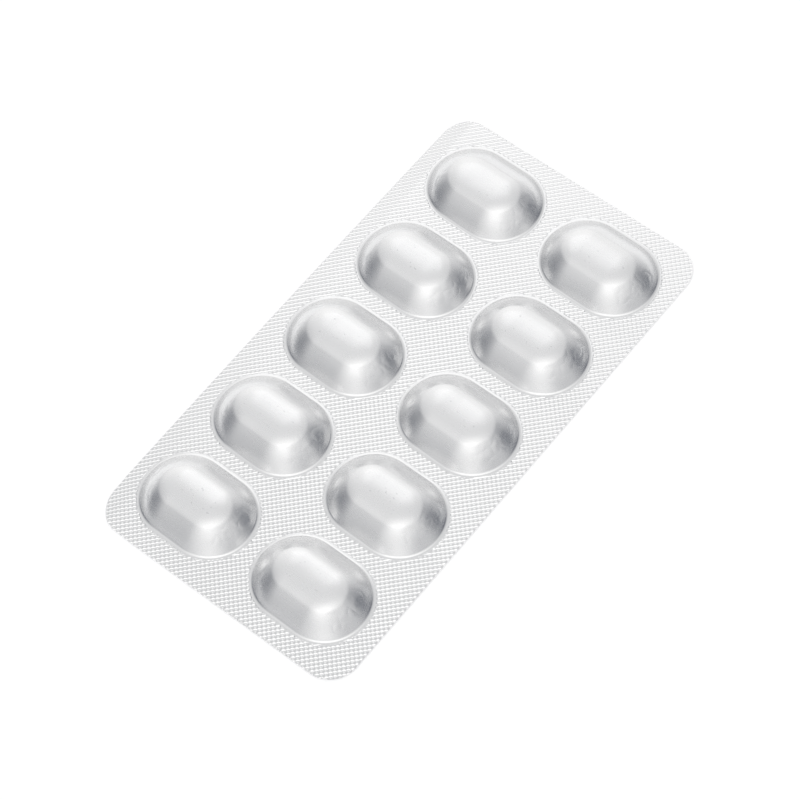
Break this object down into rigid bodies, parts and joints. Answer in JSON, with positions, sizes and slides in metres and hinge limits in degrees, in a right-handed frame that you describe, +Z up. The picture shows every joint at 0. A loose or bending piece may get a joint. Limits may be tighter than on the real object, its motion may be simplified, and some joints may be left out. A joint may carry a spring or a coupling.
{
  "type": "pill blister pack",
  "caption": "Sealed all-aluminium blister pack: a thin knurled web with rounded corners and rows of smooth oblong domed pockets.",
  "frame": {"origin": "middle of the underside, which lies on the table", "axes": "+X across the two columns, along the short side; +Y along the five rows, the long side; +Z up through the domes"},
  "size_m": [0.0654, 0.12, 0.0053],
  "materials": {
    "foil": "bright cold-formed aluminium laminate, smooth on the pockets and finely knurled on the sealed web"
  },
  "bodies": {
    "root": {"blister_pack": "foil"}
  },
  "joints": []
}
